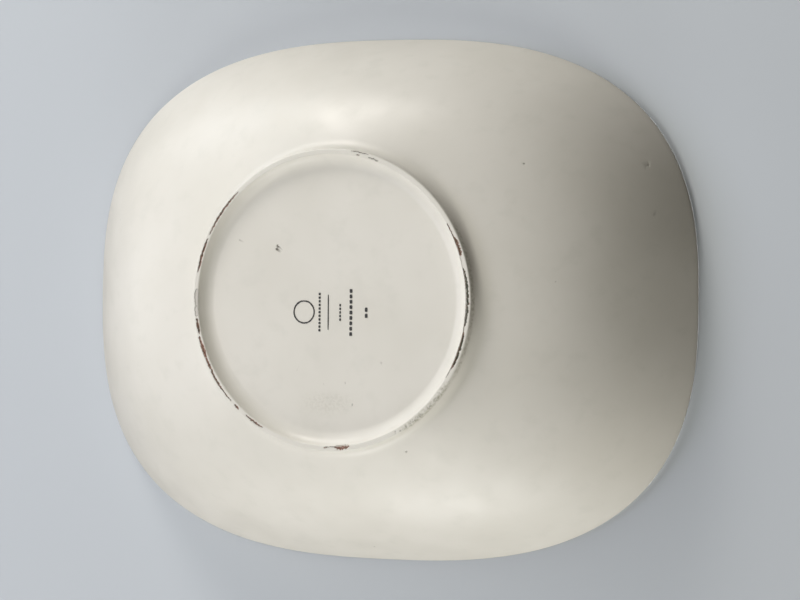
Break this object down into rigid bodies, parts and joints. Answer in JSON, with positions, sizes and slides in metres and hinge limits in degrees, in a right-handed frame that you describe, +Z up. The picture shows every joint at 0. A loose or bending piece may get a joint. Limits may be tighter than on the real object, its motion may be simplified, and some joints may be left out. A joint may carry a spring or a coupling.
{
  "type": "serving bowl",
  "caption": "Rounded-rectangle glazed serving bowl with a flared wall, rounded lip and round foot ring around a recessed base.",
  "frame": {"origin": "centre of the foot ring's resting face, on the surface the bowl stands on", "axes": "+Z up out of the bowl's mouth, +X along the long side of the mouth"},
  "size_m": [0.3, 0.242, 0.071],
  "materials": {
    "clay": "fired red-brown earthenware, matt, seen only where the glaze is chipped",
    "glaze": "cream glaze, satin gloss",
    "ink": "dark grey fired-on print"
  },
  "bodies": {
    "root": {"bowl_shell": "clay", "foot_ring": "clay", "outer_glaze": "glaze", "inner_glaze": "glaze", "base_glaze": "glaze", "mark_ring": "ink", "mark_line_1": "ink", "mark_line_2": "ink", "mark_line_3": "ink", "mark_line_4": "ink", "mark_line_5": "ink"}
  },
  "joints": []
}
